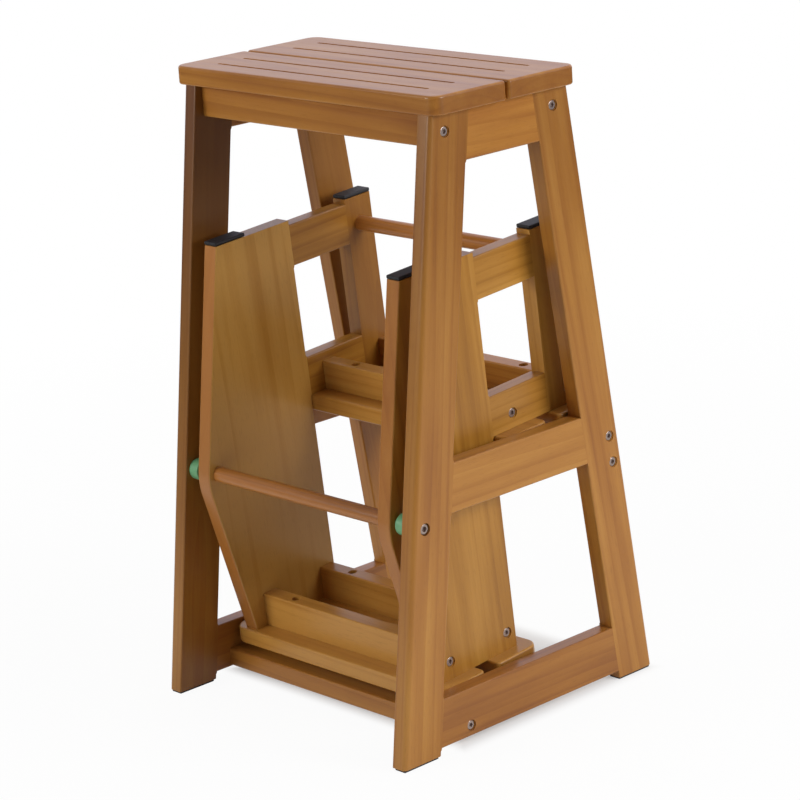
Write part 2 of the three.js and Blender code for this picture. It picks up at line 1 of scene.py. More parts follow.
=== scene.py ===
import math

import bmesh
import bpy
from mathutils import Matrix, Vector


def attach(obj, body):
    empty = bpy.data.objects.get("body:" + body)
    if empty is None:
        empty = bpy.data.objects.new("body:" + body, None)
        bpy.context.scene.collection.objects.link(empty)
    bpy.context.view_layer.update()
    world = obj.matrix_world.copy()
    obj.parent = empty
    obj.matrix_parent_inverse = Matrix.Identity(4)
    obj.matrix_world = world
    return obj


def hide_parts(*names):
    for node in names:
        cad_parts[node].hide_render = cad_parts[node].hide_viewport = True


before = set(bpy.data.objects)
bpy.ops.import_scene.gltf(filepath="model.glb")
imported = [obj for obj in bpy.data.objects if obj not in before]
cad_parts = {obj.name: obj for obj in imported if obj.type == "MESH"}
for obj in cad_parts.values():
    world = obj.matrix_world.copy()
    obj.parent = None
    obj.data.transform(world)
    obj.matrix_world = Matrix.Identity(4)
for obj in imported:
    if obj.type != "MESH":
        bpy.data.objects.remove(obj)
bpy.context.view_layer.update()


# Camera: a long lens a little above the seat, in front of the stool's right corner and turned a few
# degrees about its own axis, as the photograph was taken.

TARGET, DISTANCE = Vector((-0.00379, 0.0145, 0.3004)), 3.037
PICTURE_PIXELS, LENS_PIXELS, SENSOR = 800, 2964.03, 36

azimuth, elevation, roll = math.radians(47.15), math.radians(15.94), math.radians(-3.68)
back = Vector((math.sin(azimuth) * math.cos(elevation), -math.cos(azimuth) * math.cos(elevation),
               math.sin(elevation)))
flat_right = (-back).cross(Vector((0, 0, 1))).normalized()
flat_up = flat_right.cross(-back)
right = math.cos(roll) * flat_right + math.sin(roll) * flat_up
up = math.cos(roll) * flat_up - math.sin(roll) * flat_right
lens = bpy.data.cameras.new("camera")
lens.sensor_width = SENSOR
lens.lens = SENSOR * LENS_PIXELS / PICTURE_PIXELS
lens.clip_start, lens.clip_end = 0.1, 50
camera = bpy.data.objects.new("camera", lens)
turned = Matrix((right, up, back)).transposed().to_4x4()
camera.matrix_world = Matrix.Translation(TARGET + DISTANCE * back) @ turned
bpy.context.scene.collection.objects.link(camera)
bpy.context.scene.camera = camera
bpy.context.scene.view_settings.view_transform = "Standard"


# Studio: a white paper sweep in a white room, with a soft box on the right, one at the front left and one
# above. The eye sees the room plain white. In the lacquer's gloss it is white behind the stool and darker
# in front of it, so that the front faces keep their colour.

ROOM_LIGHT, ROOM_FRONT_GLOSS = 0.16, 0.3
PAPER_GLOSS = 0.45
SHADOW_PATCH_MIDDLE, SHADOW_PATCH_REACH = (0.0, 0.04, 0.0), (0.18, 0.14, 1.0)
LAMP_AIM = Vector((0, 0, 0.3))


def linear(colour):
    """A hex colour as linear red, green, blue and alpha."""
    parts = [int(colour[i:i + 2], 16) / 255 for i in (1, 3, 5)]
    return [p / 12.92 if p <= 0.04045 else ((p + 0.055) / 1.055) ** 2.4 for p in parts] + [1.0]


def add(tree, kind, links=None, **settings):
    """Adds a node with its settings, and its sockets' values or links."""
    made = tree.nodes.new(kind)
    for name, value in settings.items():
        setattr(made, name, value)
    for socket, value in (links or {}).items():
        if isinstance(value, bpy.types.NodeSocket):
            tree.links.new(value, made.inputs[socket])
        else:
            made.inputs[socket].default_value = value
    return made


def empty_material(name):
    material = bpy.data.materials.new(name)
    material.use_nodes = True
    material.node_tree.nodes.clear()
    return material, material.node_tree


# The room gives a low even light, and looks white to the eye, in a gloss and through a clear piece.
world = bpy.data.worlds.new("white_room")
world.use_nodes = True
bpy.context.scene.world = world
room = world.node_tree
room.nodes.clear()
ray = add(room, "ShaderNodeLightPath")
heading = add(room, "ShaderNodeTexCoord")
heading = add(room, "ShaderNodeSeparateXYZ", {0: heading.outputs["Generated"]})
mirrored = add(room, "ShaderNodeMapRange", {"Value": heading.outputs["Y"], "From Min": -0.4, "From Max": 0.3,
                                            "To Min": ROOM_FRONT_GLOSS, "To Max": 1.0})
mirrored = add(room, "ShaderNodeMath", {0: ray.outputs["Is Glossy Ray"], 1: mirrored.outputs[0]},
               operation="MULTIPLY")
seen = add(room, "ShaderNodeMath", {0: ray.outputs["Is Camera Ray"], 1: mirrored.outputs[0]},
           operation="MAXIMUM")
seen = add(room, "ShaderNodeMath", {0: seen.outputs[0], 1: ray.outputs["Is Transmission Ray"]},
           operation="MAXIMUM")
strength = add(room, "ShaderNodeMapRange", {"Value": seen.outputs[0], "To Min": ROOM_LIGHT, "To Max": 1.0})
tint = add(room, "ShaderNodeMix", {"Factor": ray.outputs["Is Glossy Ray"], "A": linear("#ffffff"),
                                   "B": linear("#f1eeff")}, data_type="RGBA")
glow = add(room, "ShaderNodeBackground", {"Color": tint.outputs["Result"], "Strength": strength.outputs[0]})
add(room, "ShaderNodeOutputWorld", {"Surface": glow.outputs[0]})

# The paper shines white to the eye too. Under the stool, inside a soft-edged oblong, most of it is paper
# lit by the lamps, which keeps their shadow, and the oblong itself is a painted shadow, greyer than the
# paper round it even where lit. In the gloss it is dimmer, and darker the further off it lies.
bpy.ops.mesh.primitive_plane_add(size=14, location=(0, 0, 0))
floor = bpy.context.object
floor.name = "floor"
paper, tree = empty_material("white_paper_sweep")
ray = add(tree, "ShaderNodeLightPath")
seen = add(tree, "ShaderNodeMath", {0: ray.outputs["Is Camera Ray"], 1: ray.outputs["Is Transmission Ray"]},
           operation="MAXIMUM")
seen = add(tree, "ShaderNodeMath", {0: ray.outputs["Is Glossy Ray"], 1: PAPER_GLOSS, 2: seen.outputs[0]},
           operation="MULTIPLY_ADD")
place = add(tree, "ShaderNodeTexCoord")
away = add(tree, "ShaderNodeVectorMath", {0: place.outputs["Object"]}, operation="LENGTH")
white = add(tree, "ShaderNodeMapRange", {"Value": away.outputs["Value"], "From Min": 0.45, "From Max": 1.6,
                                         "To Min": 0.95, "To Max": 1.0})
under = add(tree, "ShaderNodeMapping", {"Vector": place.outputs["Object"], "Location": SHADOW_PATCH_MIDDLE,
                                        "Scale": SHADOW_PATCH_REACH}, vector_type="TEXTURE")
under = add(tree, "ShaderNodeVectorMath", {0: under.outputs[0]}, operation="ABSOLUTE")
under = add(tree, "ShaderNodeSeparateXYZ", {0: under.outputs[0]})
under = add(tree, "ShaderNodeMath", {0: under.outputs["X"], 1: under.outputs["Y"]}, operation="MAXIMUM")
# Painted shadow: inside the oblong the white falls to 0.35, so the floor under the stool is greyer even
# where the lamps reach it.
clear = add(tree, "ShaderNodeMapRange", {"Value": under.outputs[0], "From Min": 0.87, "From Max": 1.07,
                                         "To Min": 0.35, "To Max": 1.0}, interpolation_type="SMOOTHSTEP")
lit = add(tree, "ShaderNodeMath", {0: white.outputs[0], 1: clear.outputs[0]}, operation="MULTIPLY")
far = add(tree, "ShaderNodeMapRange", {"Value": away.outputs["Value"], "From Min": 0.6, "From Max": 2.2})
dimmed = add(tree, "ShaderNodeMath", {0: ray.outputs["Is Glossy Ray"], 1: far.outputs[0]},
             operation="MULTIPLY")
bright = add(tree, "ShaderNodeMath", {0: 1.0, 1: dimmed.outputs[0]}, operation="SUBTRACT")
lit = add(tree, "ShaderNodeMath", {0: lit.outputs[0], 1: bright.outputs[0]}, operation="MULTIPLY")
share = add(tree, "ShaderNodeMath", {0: seen.outputs[0], 1: lit.outputs[0]}, operation="MULTIPLY")
tint = add(tree, "ShaderNodeMix", {"Factor": dimmed.outputs[0], "A": linear("#f6f6f6"),
                                   "B": linear("#5a5a5a")}, data_type="RGBA")
sheet = add(tree, "ShaderNodeBsdfDiffuse", {"Color": tint.outputs["Result"]})
shine = add(tree, "ShaderNodeEmission", {"Color": (1, 1, 1, 1), "Strength": 1.0})
both = add(tree, "ShaderNodeMixShader", {0: share.outputs[0], 1: sheet.outputs[0], 2: shine.outputs[0]})
add(tree, "ShaderNodeOutputMaterial", {"Surface": both.outputs[0]})
floor.data.materials.append(paper)


def soft_box(name, place, size, watts):
    light = bpy.data.lights.new(name, "AREA")
    light.shape = "RECTANGLE"
    light.size, light.size_y = size
    light.energy = watts
    holder = bpy.data.objects.new(name, light)
    holder.location = place
    holder.rotation_mode = "QUATERNION"
    holder.rotation_quaternion = (LAMP_AIM - Vector(place)).to_track_quat("-Z", "Y")
    bpy.context.scene.collection.objects.link(holder)


soft_box("main_box", (2.235, 0.73, 1.30), (1.1, 1.2), 41)
soft_box("front_box", (-0.90, -2.225, 1.15), (1.3, 0.9), 29)
soft_box("top_box", (-0.3, 0.6, 2.9), (2.0, 2.0), 24.5)


# Lacquered pine: softwood boards, planed and sanded, stained honey brown and sprayed with satin lacquer.
# The eye sees the year rings as faint darker lines along the grain, soft light and dark patches, darker end
# grain, and a low clear gloss. The rings are drawn wider apart than most real ones, so that they show.

PINE_STOPS = [(0.0, "#8a5320"), (0.35, "#a16828"), (0.65, "#b07832"), (1.0, "#c08b40")]
GOLDEN_STOPS = [(0.0, "#8c5a1e"), (0.35, "#a57128"), (0.65, "#b68236"), (1.0, "#c69548")]
# Of these browns, the red one is painted shade on the faces that look along Y, and the last, dark one is
# painted shade laid on by height.
PORE_BROWN, END_BROWN, SIDE_SHADE_RED, PAINTED_SHADE_BROWN = "#5c3413", "#7a4a1e", "#a25c28", "#3f1c08"
WAVE_SPACING = 0.314  # metres between the rings of a wave texture whose scale is 1
GRAIN_TILT = math.radians(1.2)


def lacquered_wood(name, along, heart, turn=0.0, tone=0.0, stops=PINE_STOPS, rings=0.009,
                   dark=(0.0, 1.0, 0.0, 0.0), edge=0.0):
    """The grain runs along X, Y or Z, turned by some degrees about X. The year rings lie round the heart of
    the tree, a point in millimetres, and rings is their spacing in metres. The tone makes a board lighter,
    or darker below 0. Dark gives two heights in metres and how far the wood is darkened at each, a painted
    shade. Edge is how far the faces that look along Y are painted redder, a painted shade."""
    material, tree = empty_material(name)
    axis = "XYZ".index(along)
    place = add(tree, "ShaderNodeTexCoord")
    lean = [math.radians(turn), 0.0, 0.0]
    lean[(axis + 1) % 3] += GRAIN_TILT
    lie = add(tree, "ShaderNodeMapping", {"Vector": place.outputs["Object"], "Rotation": lean,
                                          "Location": [h / 1000 for h in heart]}, vector_type="TEXTURE")

    def drawn_out(across, length):
        """Coordinates for a figure so many metres wide, and so many long along the grain."""
        scale = [across] * 3
        scale[axis] = length
        return add(tree, "ShaderNodeMapping", {"Vector": lie.outputs[0], "Scale": scale},
                   vector_type="TEXTURE").outputs[0]

    year = add(tree, "ShaderNodeTexWave", {"Vector": drawn_out(1.0, 6.0), "Scale": WAVE_SPACING / rings,
                                           "Distortion": 5.0, "Detail": 2.0, "Detail Scale": 0.3,
                                           "Detail Roughness": 0.45},
               wave_type="RINGS", rings_direction=along, wave_profile="SAW")
    broad, streaks, clouds, pores = [
        add(tree, "ShaderNodeTexNoise", {"Vector": drawn_out(across, length), "Scale": 1.0, "Detail": detail,
                                         "Roughness": fine}).outputs["Fac"]
        for across, length, detail, fine in ((0.016, 0.3, 2.0, 0.5), (0.0022, 0.11, 3.0, 0.6),
                                             (0.06, 0.17, 1.0, 0.5), (0.0007, 0.012, 2.0, 0.5))]
    late = add(tree, "ShaderNodeMapRange", {"Value": year.outputs["Fac"], "From Min": 0.55,
                                            "From Max": 0.97}, interpolation_type="SMOOTHSTEP")
    mix = add(tree, "ShaderNodeMix", {"Factor": 0.18, "A": broad, "B": streaks})
    mix = add(tree, "ShaderNodeMix", {"Factor": 0.35, "A": mix.outputs["Result"], "B": clouds})
    line = add(tree, "ShaderNodeMath", {0: late.outputs[0], 1: -0.09, 2: mix.outputs["Result"]},
               operation="MULTIPLY_ADD")
    spread = add(tree, "ShaderNodeMapRange", {"Value": line.outputs[0], "From Min": 0.2, "From Max": 0.75,
                                              "To Min": tone, "To Max": 1.0 + tone})
    ramp = add(tree, "ShaderNodeValToRGB", {"Fac": spread.outputs[0]})
    band = ramp.color_ramp.elements
    while len(band) < len(stops):
        band.new(0.5)
    for stop, (position, colour) in zip(band, stops):
        stop.position = position
        stop.color = linear(colour)

    flecks = add(tree, "ShaderNodeMapRange", {"Value": pores, "From Min": 0.58, "From Max": 0.72,
                                              "To Min": 0.0, "To Max": 0.2})
    facing = add(tree, "ShaderNodeSeparateXYZ", {0: place.outputs["Normal"]})
    ends = add(tree, "ShaderNodeMath", {0: facing.outputs[axis]}, operation="ABSOLUTE")
    soaked = add(tree, "ShaderNodeMapRange", {"Value": ends.outputs[0], "From Min": 0.8, "From Max": 0.95,
                                              "To Min": 0.0, "To Max": 0.6})
    # Painted shade: the faces that look along Y are drawn redder by the edge amount.
    sides = add(tree, "ShaderNodeMath", {0: facing.outputs["Y"]}, operation="ABSOLUTE")
    painted_side_shade = add(tree, "ShaderNodeMapRange", {"Value": sides.outputs[0], "From Min": 0.5, "From Max": 0.9,
                                              "To Min": 0.0, "To Max": edge})
    # Painted shade: between the two heights given in dark, the wood is darkened by the given amounts.
    level = add(tree, "ShaderNodeSeparateXYZ", {0: place.outputs["Object"]})
    painted_shade = add(tree, "ShaderNodeMapRange", {"Value": level.outputs["Z"], "From Min": dark[0],
                                             "From Max": dark[1], "To Min": dark[2], "To Max": dark[3]})
    stained = ramp.outputs["Color"]
    for share, colour in ((flecks, PORE_BROWN), (soaked, END_BROWN), (painted_side_shade, SIDE_SHADE_RED),
                          (painted_shade, PAINTED_SHADE_BROWN)):
        stained = add(tree, "ShaderNodeMix", {"Factor": share.outputs[0], "A": stained, "B": linear(colour)},
                      data_type="RGBA").outputs["Result"]

    rough = add(tree, "ShaderNodeMapRange", {"Value": streaks, "From Min": 0.3, "From Max": 0.7,
                                             "To Min": 0.28, "To Max": 0.36})
    height = add(tree, "ShaderNodeMix", {"Factor": 0.4, "A": streaks, "B": pores})
    relief = add(tree, "ShaderNodeBump", {"Height": height.outputs["Result"], "Strength": 0.1,
                                          "Distance": 0.0006})
    surface = add(tree, "ShaderNodeBsdfPrincipled", {"Base Color": stained, "Roughness": rough.outputs[0],
                                                     "IOR": 1.5, "Specular IOR Level": 0.35,
                                                     "Coat Weight": 0.12, "Coat Roughness": 0.2,
                                                     "Normal": relief.outputs[0]})
    add(tree, "ShaderNodeOutputMaterial", {"Surface": surface.outputs[0]})
    return material


# Seat: two planks of pine side by side with a narrow gap, screwed from below to the aprons. Each has
# two stopped grooves cut by a router, big outer corners and small ones at the gap. Here and below, sizes
# and places are in millimetres.

SEAT_HALF_WIDTH, SEAT_TOP, SEAT_UNDER = 189, 650, 631
SEAT_GAP_HALF, SEAT_HALF_DEPTH = 1.5, 97
GROOVE_PITCH, GROOVE_END, GROOVE_HALF, GROOVE_FLOOR = 34, 152, 2, 647


def deselect():
    if bpy.context.object and bpy.context.object.mode != "OBJECT":
        bpy.ops.object.mode_set(mode="OBJECT")
    bpy.ops.object.select_all(action="DESELECT")


def board(name, low, high):
    """A cube at its size and place between two corners in millimetres, left open in edit mode."""
    deselect()
    size = [(b - a) / 1000 for a, b in zip(low, high)]
    middle = [(a + b) / 2000 for a, b in zip(low, high)]
    bpy.ops.mesh.primitive_cube_add(size=1, location=middle, scale=size)
    piece = bpy.context.object
    piece.name = name
    bpy.ops.object.transform_apply(location=True, rotation=True, scale=True)
    bpy.ops.object.mode_set(mode="EDIT")
    return piece


def near(a, b, reach=0.05):
    return abs(a - b) < reach


def pick(test, kind="EDGE", run="XYZ"):
    """Selects the parts of the open mesh whose corners, in millimetres, all pass the test and differ only
    along the axes in run."""
    bpy.ops.mesh.select_all(action="DESELECT")
    bpy.context.tool_settings.mesh_select_mode = (kind == "VERT", kind == "EDGE", kind == "FACE")
    mesh = bmesh.from_edit_mesh(bpy.context.object.data)
    for part in {"VERT": mesh.verts, "EDGE": mesh.edges, "FACE": mesh.faces}[kind]:
        places = [1000 * corner.co for corner in ([part] if kind == "VERT" else part.verts)]
        level = all(near(spot[i], places[0][i]) for spot in places for i in range(3) if "XYZ"[i] not in run)
        part.select_set(level and all(test(*spot) for spot in places))
    mesh.select_flush_mode()
    bmesh.update_edit_mesh(bpy.context.object.data)


def round_edges(radius, test, steps, run="XYZ"):
    """Rounds the open mesh's edges that pass the test, by a radius in millimetres."""
    pick(test, run=run)
    bpy.ops.mesh.bevel(offset=radius / 1000, segments=steps, affect="EDGES", clamp_overlap=True)


def cut(piece, cutter):
    """Takes the cutter out of the piece and removes it."""
    deselect()
    piece.select_set(True)
    bpy.context.view_layer.objects.active = piece
    taken = piece.modifiers.new("cut", "BOOLEAN")
    taken.operation = "DIFFERENCE"
    taken.solver = "EXACT"
    taken.object = cutter
    bpy.ops.object.modifier_apply(modifier=taken.name)
    bpy.data.objects.remove(cutter, do_unlink=True)


def smooth_rounds(mesh, angle=38):
    """Shades the rounded edges smooth and keeps the large faces flat: each corner takes the normals of the
    faces round it that lie within the angle, by their area."""
    around = [[] for corner in mesh.vertices]
    for face in mesh.polygons:
        face.use_smooth = True
        for corner in face.vertices:
            around[corner].append((face.normal.copy(), face.area))
    normals = [None] * len(mesh.loops)
    for face in mesh.polygons:
        for loop in face.loop_indices:
            normals[loop] = sum((area * normal for normal, area in around[mesh.loops[loop].vertex_index]
                                 if normal.dot(face.normal) > math.cos(math.radians(angle))), Vector())
    mesh.normals_split_custom_set([normal.normalized() for normal in normals])


def finish_piece(piece, body, material, node=None):
    """Smooths the piece's rounded edges, gives it its material and hands it to its body, in the place of a
    CAD node where one is named."""
    deselect()
    smooth_rounds(piece.data)
    piece.data.materials.clear()
    piece.data.materials.append(material)
    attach(piece, body)
    if node:
        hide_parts(node)


for end, where in ((-1, "front"), (1, "rear")):
    gap, outer = end * SEAT_GAP_HALF, end * SEAT_HALF_DEPTH
    low, high = min(gap, outer), max(gap, outer)
    plank = board("seat_plank_" + where, (-SEAT_HALF_WIDTH, low, SEAT_UNDER),
                  (SEAT_HALF_WIDTH, high, SEAT_TOP))
    round_edges(13, lambda x, y, z: near(y, outer), 8, "Z")
    round_edges(4, lambda x, y, z: near(y, gap), 4, "Z")
    round_edges(2.6, lambda x, y, z: near(z, SEAT_TOP), 4)
    round_edges(2.0, lambda x, y, z: near(z, SEAT_UNDER), 3)
    for step in (1, 2):
        middle = end * step * GROOVE_PITCH
        groove = board("groove", (-GROOVE_END, middle - GROOVE_HALF, GROOVE_FLOOR),
                       (GROOVE_END, middle + GROOVE_HALF, SEAT_TOP + 2))
        round_edges(1.9, lambda x, y, z: True, 5, "Z")
        round_edges(0.7, lambda x, y, z: near(z, GROOVE_FLOOR), 2)
        cut(plank, groove)
    finish_piece(plank, "stool",
                 lacquered_wood("pine_seat_" + where, "X", (40 * end, 55 * end, 560)), "seat_board_" + where)


# Side frames: five pine bars each, 18 mm thick and flush, with stub tenons glued into the legs, sanded
# together and routed round. The legs lean in towards the seat. The joints show only as a change of tone.

LEAN, LEAN_DEGREES = 87 / 631, 7.85
LEG_FOOT, LEG_TOP, LEG_WIDTH, STANCE = 2.5, 631, 50, 180
FRAME_OUT, FRAME_IN = 178.5, 160.5
RAILS = [("top", 581, 631, -0.15), ("middle", 243, 293, 0.05), ("bottom", 10, 60, -0.25)]
RAIL_GAP = 0.02
BETWEEN_RAILS = [(2.5, 7.5), (62.5, 240.5), (295.5, 578.5)]  # where the legs' inner edges are free
# The legs are painted darker towards the top, a painted shade for the light that falls off under the seat.
# The front left leg gets the most, and it is darker all along.
LEG_PAINTED_SHADE = {"front_left": (0.1, 0.6, 0.25, 0.7), "rear_left": (0.25, 0.62, 0.0, 0.5),
              "front_right": (0.25, 0.62, 0.0, 0.3), "rear_right": (0.25, 0.62, 0.0, 0.3)}

# Where the screws and the pivot bolts enter, across the frame and up, and the radius and depth of each bore.
APRON_SCREWS = {"front": (-76, 613), "rear": (71, 613)}
CROSS_SCREWS = [(134.354, 235.884), (130.462, 264.116)]
STRETCHER_SCREW = (-86.5, 21)
PIVOT = (-132.523, 237)
SCREW_SUNK, BOLT_SUNK = 1.2, 1.5
SCREW_BORES = ((5.75, SCREW_SUNK), (4.85, 6))
BOLT_BORES = ((6.25, 5.1), (3.3, 24))


def leg_face(z):
    return STANCE - LEAN * z


def leg_inside(z):
    return leg_face(z) - LEG_WIDTH


def let_in(piece, side, mouth, bores):
    """Bores a stepped hole into the outer face of a side piece, from its mouth in millimetres."""
    beyond = 4
    for radius, depth in bores:
        deselect()
        x = mouth[0] + side * (beyond - depth) / 2
        bpy.ops.mesh.primitive_cylinder_add(vertices=40, radius=radius / 1000, depth=(beyond + depth) / 1000,
                                            location=(x / 1000, mouth[1] / 1000, mouth[2] / 1000),
                                            rotation=(0, math.pi / 2, 0))
        cutter = bpy.context.object
        bpy.ops.object.transform_apply(location=True, rotation=True, scale=True)
        cut(piece, cutter)


def ring_cuts(levels):
    """Cuts level rings round the open mesh, so that an edge can be rounded for part of its length."""
    for level in levels:
        bpy.ops.mesh.select_all(action="SELECT")
        bpy.ops.mesh.bisect(plane_co=(0, 0, level / 1000), plane_no=(0, 0, 1))


for side, hand in ((-1, "left"), (1, "right")):
    low_x, high_x = sorted((side * FRAME_IN, side * FRAME_OUT))
    for end, where in ((-1, "front"), (1, "rear")):
        faces = sorted((end * leg_inside(LEG_FOOT), end * leg_face(LEG_FOOT)))
        bar = board("leg_%s_%s" % (where, hand), (low_x, faces[0], LEG_FOOT), (high_x, faces[1], LEG_TOP))
        pick(lambda x, y, z: near(z, LEG_TOP), "FACE")
        rise = (LEG_TOP - LEG_FOOT) / 1000
        bpy.ops.transform.translate(value=(0, -end * LEAN * rise, 0))
        ring_cuts([z for span in BETWEEN_RAILS for z in span])
        round_edges(5, lambda x, y, z: near(end * y, leg_face(z)) and near(abs(x), FRAME_OUT), 6, "YZ")
        round_edges(1.6, lambda x, y, z: near(end * y, leg_face(z)) and near(abs(x), FRAME_IN), 3, "YZ")
        for low, high in BETWEEN_RAILS:
            round_edges(1.8, lambda x, y, z: near(end * y, leg_inside(z)) and low - 0.1 < z < high + 0.1,
                        3, "YZ")
        round_edges(0.8, lambda x, y, z: near(z, LEG_FOOT), 2, "XY")
        for y, z in [APRON_SCREWS[where]] + (CROSS_SCREWS if where == "rear" else []):
            let_in(bar, side, (side * FRAME_OUT, y, z), SCREW_BORES)
        if where == "front":
            let_in(bar, side, (side * FRAME_OUT, *PIVOT), BOLT_BORES)
        wood = lacquered_wood("pine_leg_%s_%s" % (where, hand), "Z", (side * 215, end * 170, 100 * side),
                              end * LEAN_DEGREES, dark=LEG_PAINTED_SHADE["%s_%s" % (where, hand)])
        finish_piece(bar, "stool", wood, "%s_leg_%s" % (where, hand))
    for level, low, high, tone in RAILS:
        reach = leg_inside(low) - RAIL_GAP
        bar = board("rail_%s_%s" % (level, hand), (low_x, -reach, low), (high_x, reach, high))
        pick(lambda x, y, z: near(z, high), "FACE")
        bpy.ops.transform.resize(value=(1, (leg_inside(high) - RAIL_GAP) / reach, 1),
                                 center_override=(0, 0, high / 1000))
        round_edges(1.8, lambda x, y, z: z < LEG_TOP - 1, 3, "Y")
        if level == "bottom":
            let_in(bar, side, (side * FRAME_OUT, *STRETCHER_SCREW), SCREW_BORES)
        wood = lacquered_wood("pine_rail_%s_%s" % (level, hand), "Y", (side * 220, low, low + 60), tone=tone)
        finish_piece(bar, "stool", wood, "%s_rail_%s" % (level, hand))


# Aprons: two pine rails on edge under the seat, front and rear. They are butted between the side frames and
# screwed through the top ends of the legs.

APRON_TOP, APRON_UNDER = 631, 598

for where, low_y, high_y in (("front", -85, -67), ("rear", 62, 80)):
    apron = board("apron_" + where, (-FRAME_IN, low_y, APRON_UNDER), (FRAME_IN, high_y, APRON_TOP))
    round_edges(2.0, lambda x, y, z: near(z, APRON_UNDER), 4, "X")
    wood = lacquered_wood("pine_apron_" + where, "X", (low_y, 1.7 * low_y, 575), tone=-0.15)
    finish_piece(apron, "stool", wood, where + "_apron")


# Stretcher: a pine board laid flat low down at the front. It is butted between the bottom rails and screwed
# through them from outside.

stretcher = board("stretcher", (-FRAME_IN, -108.5, 11.5), (FRAME_IN, -64.5, 30.5))
round_edges(2.0, lambda x, y, z: True, 4, "X")
finish_piece(stretcher, "stool",
             lacquered_wood("pine_stretcher", "X", (30, -150, -20)), "front_stretcher")


# Cross rail: a pine board between the rear legs at half height, set at their slant and held by two screws a
# side, that the lower step rests against while the unit is folded. It starts as an upright board, and its
# four long edges, given as y and z, are moved to the slant.

CROSS_LOW, CROSS_HIGH = (119.25, 222.08), (145.0, 281.99)
CROSS_SLANT = {(119.25, 222.08): (127.17, 222.08), (145.0, 222.08): (145.0, 224.54),
               (145.0, 281.99): (137.08, 281.99), (119.25, 281.99): (119.25, 279.53)}

cross = board("cross_rail", (-FRAME_IN, *CROSS_LOW), (FRAME_IN, *CROSS_HIGH))
for (y, z), (new_y, new_z) in CROSS_SLANT.items():
    pick(lambda a, b, c: near(b, y) and near(c, z), "VERT")
    bpy.ops.transform.translate(value=(0, (new_y - y) / 1000, (new_z - z) / 1000))
round_edges(2.0, lambda x, y, z: True, 4, "X")
finish_piece(cross, "stool",
             lacquered_wood("pine_cross_rail", "X", (0, 190, 230), LEAN_DEGREES), "rear_cross_rail")


# Sides of the two-step unit: on each a wide pine board that narrows to the foot and to the upper tread, hung
# on the pivot, and a narrow leg behind it, with two rails tenoned and glued between. They stand upside down
# while the unit is folded. Places are built from the pivot, along the unit's own lines, and then turned.

UNIT_LEAN = 4.5
UNIT_IN, UNIT_OUT = 125, 143
HEAD, KNEE, FOOT = -183, -8, 233
WIDE_NEAR, WIDE_FAR = -15.5, 137.5
WIDE_HEAD, WIDE_FOOT = 20, 38
NARROW_NEAR, NARROW_FAR, NARROW_HEAD = 217.5, 254.5, 42.3
SIDE_RAILS = [("foot", 184, 228), ("tread", 42.3, 83.5)]
SIDE_RAIL_NEAR, SIDE_RAIL_FAR = 137.52, 217.48
TREAD_RAIL_START, TREAD_RAIL_STOP, FOOT_RAIL_START = 39.8, 86, 181.5
# The left wide board is painted darker low down, a painted shade. On both boards the faces that look along Y
# are painted redder, a painted shade.
WIDE_LOOKS = {"left": {"tone": 0.55, "dark": (0.2, 0.45, 0.15, 0.0), "edge": 0.7},
              "right": {"tone": -0.1, "edge": 0.5}}
NARROW_TONES = {"left": -0.45, "right": 0.0}

# Each cleat's tread and order, its middle and its base from the pivot, and its height. The sides need them
# for the screws.
CLEATS = [("upper", "near", 44, -183, 36), ("upper", "far", 125, -183, 36),
          ("lower", "near", 167.1, 42, 31), ("lower", "far", 248.1, 42, 31)]


def swing(piece):
    """Turns a piece built along the unit's own lines to its folded place on the pivot."""
    deselect()
    piece.select_set(True)
    bpy.context.view_layer.objects.active = piece
    piece.rotation_euler = (math.radians(UNIT_LEAN), 0, 0)
    piece.location = (0, PIVOT[0] / 1000, PIVOT[1] / 1000)
    bpy.ops.object.transform_apply(location=True, rotation=True, scale=True)


def slice_off(first, second):
    """Cuts away what lies in front of the line between two points of the unit's side view."""
    along = Vector((0, second[0] - first[0], second[1] - first[1]))
    bpy.ops.mesh.select_all(action="SELECT")
    bpy.ops.mesh.bisect(plane_co=(0, first[0] / 1000, first[1] / 1000), use_fill=True, clear_outer=True,
                        plane_no=Vector((1, 0, 0)).cross(along).normalized())


def screw_seats(piece, side, test):
    """Lets the screws into a side piece, for the cleats whose middle passes the test."""
    for _, _, middle, base, height in CLEATS:
        if test(middle):
            let_in(piece, side, (side * UNIT_OUT, middle, base + height / 2), SCREW_BORES)


